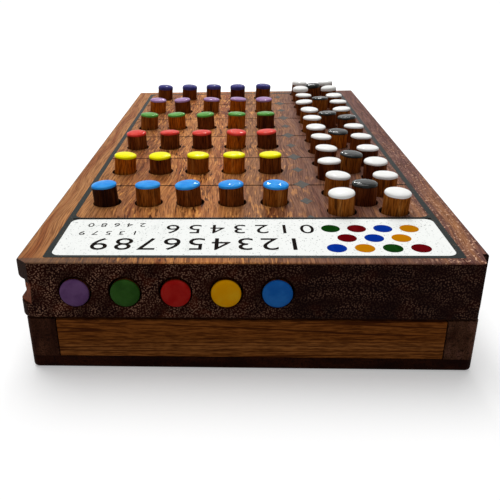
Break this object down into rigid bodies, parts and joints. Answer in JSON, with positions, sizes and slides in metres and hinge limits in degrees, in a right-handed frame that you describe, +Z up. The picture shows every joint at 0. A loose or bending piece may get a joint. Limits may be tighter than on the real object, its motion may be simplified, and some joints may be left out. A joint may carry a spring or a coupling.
{
  "type": "code breaking peg game",
  "caption": "Low wooden board game: a drilled plank on a shallow case with a sliding drawer, and loose paint-tipped dowels for the secret code, guesses and answers.",
  "frame": {"origin": "middle of the underside, where the base board rests on the table", "axes": "+Y along the board, away from the player who hides the code; +Z up; +X to that player's right"},
  "size_m": [0.1422, 0.261, 0.0451],
  "materials": {
    "board_wood": "oiled dark hardwood",
    "case_wood": "stained dark hardwood",
    "drawer_wood": "pale sanded wood",
    "peg_wood": "raw turned dowel",
    "paint_blue": "glossy enamel paint on wood",
    "paint_yellow": "glossy enamel paint on wood",
    "paint_red": "glossy enamel paint on wood",
    "paint_green": "glossy enamel paint on wood",
    "paint_lilac": "glossy enamel paint on wood",
    "paint_navy": "glossy enamel paint on wood",
    "paint_amber": "glossy enamel paint on wood",
    "paint_white": "glossy enamel paint on wood",
    "paint_black": "glossy enamel paint on wood",
    "print_ink": "thin screen printed ink",
    "label_ink": "thin white screen printed ink"
  },
  "bodies": {
    "case": {"play_board": "board_wood", "left_rail": "case_wood", "right_rail": "case_wood", "base_board": "case_wood"},
    "drawer": {"drawer_front": "drawer_wood", "drawer_back": "drawer_wood", "drawer_left_side": "drawer_wood", "drawer_right_side": "drawer_wood", "drawer_floor": "drawer_wood"},
    "secret_peg_1": {"secret_peg_1": "peg_wood"},
    "secret_peg_2": {"secret_peg_2": "peg_wood"},
    "secret_peg_3": {"secret_peg_3": "peg_wood"},
    "secret_peg_4": {"secret_peg_4": "peg_wood"},
    "secret_peg_5": {"secret_peg_5": "peg_wood"},
    "guess_1_peg_1": {"guess_1_peg_1": "peg_wood"},
    "guess_1_peg_2": {"guess_1_peg_2": "peg_wood"},
    "guess_1_peg_3": {"guess_1_peg_3": "peg_wood"},
    "guess_1_peg_4": {"guess_1_peg_4": "peg_wood"},
    "guess_1_peg_5": {"guess_1_peg_5": "peg_wood"},
    "guess_2_peg_1": {"guess_2_peg_1": "peg_wood"},
    "guess_2_peg_2": {"guess_2_peg_2": "peg_wood"},
    "guess_2_peg_3": {"guess_2_peg_3": "peg_wood"},
    "guess_2_peg_4": {"guess_2_peg_4": "peg_wood"},
    "guess_2_peg_5": {"guess_2_peg_5": "peg_wood"},
    "guess_3_peg_1": {"guess_3_peg_1": "peg_wood"},
    "guess_3_peg_2": {"guess_3_peg_2": "peg_wood"},
    "guess_3_peg_3": {"guess_3_peg_3": "peg_wood"},
    "guess_3_peg_4": {"guess_3_peg_4": "peg_wood"},
    "guess_3_peg_5": {"guess_3_peg_5": "peg_wood"},
    "guess_4_peg_1": {"guess_4_peg_1": "peg_wood"},
    "guess_4_peg_2": {"guess_4_peg_2": "peg_wood"},
    "guess_4_peg_3": {"guess_4_peg_3": "peg_wood"},
    "guess_4_peg_4": {"guess_4_peg_4": "peg_wood"},
    "guess_4_peg_5": {"guess_4_peg_5": "peg_wood"},
    "guess_5_peg_1": {"guess_5_peg_1": "peg_wood"},
    "guess_5_peg_2": {"guess_5_peg_2": "peg_wood"},
    "guess_5_peg_3": {"guess_5_peg_3": "peg_wood"},
    "guess_5_peg_4": {"guess_5_peg_4": "peg_wood"},
    "guess_5_peg_5": {"guess_5_peg_5": "peg_wood"},
    "guess_6_peg_1": {"guess_6_peg_1": "peg_wood"},
    "guess_6_peg_2": {"guess_6_peg_2": "peg_wood"},
    "guess_6_peg_3": {"guess_6_peg_3": "peg_wood"},
    "guess_6_peg_4": {"guess_6_peg_4": "peg_wood"},
    "guess_6_peg_5": {"guess_6_peg_5": "peg_wood"},
    "answer_1_white_pegs": {"answer_1_white_pegs": "peg_wood"},
    "answer_1_black_pegs": {"answer_1_black_pegs": "peg_wood"},
    "answer_2_white_pegs": {"answer_2_white_pegs": "peg_wood"},
    "answer_2_black_pegs": {"answer_2_black_pegs": "peg_wood"},
    "answer_3_white_pegs": {"answer_3_white_pegs": "peg_wood"},
    "answer_3_black_pegs": {"answer_3_black_pegs": "peg_wood"},
    "answer_4_white_pegs": {"answer_4_white_pegs": "peg_wood"},
    "answer_4_black_pegs": {"answer_4_black_pegs": "peg_wood"},
    "answer_5_white_pegs": {"answer_5_white_pegs": "peg_wood"},
    "answer_5_black_pegs": {"answer_5_black_pegs": "peg_wood"},
    "answer_6_white_pegs": {"answer_6_white_pegs": "peg_wood"},
    "answer_6_black_pegs": {"answer_6_black_pegs": "peg_wood"}
  },
  "joints": [
    {"name": "drawer_slide", "type": "slide", "parent": "case", "child": "drawer", "axis": [0, -1, 0], "range_m": [-0.19, 0.19]},
    {"name": "secret_peg_1_pull", "type": "slide", "parent": "case", "child": "secret_peg_1", "axis": [0, -1, 0], "range_m": [0, 0.022]},
    {"name": "secret_peg_2_pull", "type": "slide", "parent": "case", "child": "secret_peg_2", "axis": [0, -1, 0], "range_m": [0, 0.022]},
    {"name": "secret_peg_3_pull", "type": "slide", "parent": "case", "child": "secret_peg_3", "axis": [0, -1, 0], "range_m": [0, 0.022]},
    {"name": "secret_peg_4_pull", "type": "slide", "parent": "case", "child": "secret_peg_4", "axis": [0, -1, 0], "range_m": [0, 0.022]},
    {"name": "secret_peg_5_pull", "type": "slide", "parent": "case", "child": "secret_peg_5", "axis": [0, -1, 0], "range_m": [0, 0.022]},
    {"name": "guess_1_peg_1_lift", "type": "slide", "parent": "case", "child": "guess_1_peg_1", "axis": [0, 0, 1], "range_m": [0, 0.015]},
    {"name": "guess_1_peg_2_lift", "type": "slide", "parent": "case", "child": "guess_1_peg_2", "axis": [0, 0, 1], "range_m": [0, 0.015]},
    {"name": "guess_1_peg_3_lift", "type": "slide", "parent": "case", "child": "guess_1_peg_3", "axis": [0, 0, 1], "range_m": [0, 0.015]},
    {"name": "guess_1_peg_4_lift", "type": "slide", "parent": "case", "child": "guess_1_peg_4", "axis": [0, 0, 1], "range_m": [0, 0.015]},
    {"name": "guess_1_peg_5_lift", "type": "slide", "parent": "case", "child": "guess_1_peg_5", "axis": [0, 0, 1], "range_m": [0, 0.015]},
    {"name": "guess_2_peg_1_lift", "type": "slide", "parent": "case", "child": "guess_2_peg_1", "axis": [0, 0, 1], "range_m": [0, 0.015]},
    {"name": "guess_2_peg_2_lift", "type": "slide", "parent": "case", "child": "guess_2_peg_2", "axis": [0, 0, 1], "range_m": [0, 0.015]},
    {"name": "guess_2_peg_3_lift", "type": "slide", "parent": "case", "child": "guess_2_peg_3", "axis": [0, 0, 1], "range_m": [0, 0.015]},
    {"name": "guess_2_peg_4_lift", "type": "slide", "parent": "case", "child": "guess_2_peg_4", "axis": [0, 0, 1], "range_m": [0, 0.015]},
    {"name": "guess_2_peg_5_lift", "type": "slide", "parent": "case", "child": "guess_2_peg_5", "axis": [0, 0, 1], "range_m": [0, 0.015]},
    {"name": "guess_3_peg_1_lift", "type": "slide", "parent": "case", "child": "guess_3_peg_1", "axis": [0, 0, 1], "range_m": [0, 0.015]},
    {"name": "guess_3_peg_2_lift", "type": "slide", "parent": "case", "child": "guess_3_peg_2", "axis": [0, 0, 1], "range_m": [0, 0.015]},
    {"name": "guess_3_peg_3_lift", "type": "slide", "parent": "case", "child": "guess_3_peg_3", "axis": [0, 0, 1], "range_m": [0, 0.015]},
    {"name": "guess_3_peg_4_lift", "type": "slide", "parent": "case", "child": "guess_3_peg_4", "axis": [0, 0, 1], "range_m": [0, 0.015]},
    {"name": "guess_3_peg_5_lift", "type": "slide", "parent": "case", "child": "guess_3_peg_5", "axis": [0, 0, 1], "range_m": [0, 0.015]},
    {"name": "guess_4_peg_1_lift", "type": "slide", "parent": "case", "child": "guess_4_peg_1", "axis": [0, 0, 1], "range_m": [0, 0.015]},
    {"name": "guess_4_peg_2_lift", "type": "slide", "parent": "case", "child": "guess_4_peg_2", "axis": [0, 0, 1], "range_m": [0, 0.015]},
    {"name": "guess_4_peg_3_lift", "type": "slide", "parent": "case", "child": "guess_4_peg_3", "axis": [0, 0, 1], "range_m": [0, 0.015]},
    {"name": "guess_4_peg_4_lift", "type": "slide", "parent": "case", "child": "guess_4_peg_4", "axis": [0, 0, 1], "range_m": [0, 0.015]},
    {"name": "guess_4_peg_5_lift", "type": "slide", "parent": "case", "child": "guess_4_peg_5", "axis": [0, 0, 1], "range_m": [0, 0.015]},
    {"name": "guess_5_peg_1_lift", "type": "slide", "parent": "case", "child": "guess_5_peg_1", "axis": [0, 0, 1], "range_m": [0, 0.015]},
    {"name": "guess_5_peg_2_lift", "type": "slide", "parent": "case", "child": "guess_5_peg_2", "axis": [0, 0, 1], "range_m": [0, 0.015]},
    {"name": "guess_5_peg_3_lift", "type": "slide", "parent": "case", "child": "guess_5_peg_3", "axis": [0, 0, 1], "range_m": [0, 0.015]},
    {"name": "guess_5_peg_4_lift", "type": "slide", "parent": "case", "child": "guess_5_peg_4", "axis": [0, 0, 1], "range_m": [0, 0.015]},
    {"name": "guess_5_peg_5_lift", "type": "slide", "parent": "case", "child": "guess_5_peg_5", "axis": [0, 0, 1], "range_m": [0, 0.015]},
    {"name": "guess_6_peg_1_lift", "type": "slide", "parent": "case", "child": "guess_6_peg_1", "axis": [0, 0, 1], "range_m": [0, 0.015]},
    {"name": "guess_6_peg_2_lift", "type": "slide", "parent": "case", "child": "guess_6_peg_2", "axis": [0, 0, 1], "range_m": [0, 0.015]},
    {"name": "guess_6_peg_3_lift", "type": "slide", "parent": "case", "child": "guess_6_peg_3", "axis": [0, 0, 1], "range_m": [0, 0.015]},
    {"name": "guess_6_peg_4_lift", "type": "slide", "parent": "case", "child": "guess_6_peg_4", "axis": [0, 0, 1], "range_m": [0, 0.015]},
    {"name": "guess_6_peg_5_lift", "type": "slide", "parent": "case", "child": "guess_6_peg_5", "axis": [0, 0, 1], "range_m": [0, 0.015]},
    {"name": "answer_1_white_lift", "type": "slide", "parent": "case", "child": "answer_1_white_pegs", "axis": [0, 0, 1], "range_m": [0, 0.015]},
    {"name": "answer_1_black_lift", "type": "slide", "parent": "case", "child": "answer_1_black_pegs", "axis": [0, 0, 1], "range_m": [0, 0.015]},
    {"name": "answer_2_white_lift", "type": "slide", "parent": "case", "child": "answer_2_white_pegs", "axis": [0, 0, 1], "range_m": [0, 0.015]},
    {"name": "answer_2_black_lift", "type": "slide", "parent": "case", "child": "answer_2_black_pegs", "axis": [0, 0, 1], "range_m": [0, 0.015]},
    {"name": "answer_3_white_lift", "type": "slide", "parent": "case", "child": "answer_3_white_pegs", "axis": [0, 0, 1], "range_m": [0, 0.015]},
    {"name": "answer_3_black_lift", "type": "slide", "parent": "case", "child": "answer_3_black_pegs", "axis": [0, 0, 1], "range_m": [0, 0.015]},
    {"name": "answer_4_white_lift", "type": "slide", "parent": "case", "child": "answer_4_white_pegs", "axis": [0, 0, 1], "range_m": [0, 0.015]},
    {"name": "answer_4_black_lift", "type": "slide", "parent": "case", "child": "answer_4_black_pegs", "axis": [0, 0, 1], "range_m": [0, 0.015]},
    {"name": "answer_5_white_lift", "type": "slide", "parent": "case", "child": "answer_5_white_pegs", "axis": [0, 0, 1], "range_m": [0, 0.015]},
    {"name": "answer_5_black_lift", "type": "slide", "parent": "case", "child": "answer_5_black_pegs", "axis": [0, 0, 1], "range_m": [0, 0.015]},
    {"name": "answer_6_white_lift", "type": "slide", "parent": "case", "child": "answer_6_white_pegs", "axis": [0, 0, 1], "range_m": [0, 0.015]},
    {"name": "answer_6_black_lift", "type": "slide", "parent": "case", "child": "answer_6_black_pegs", "axis": [0, 0, 1], "range_m": [0, 0.015]}
  ]
}
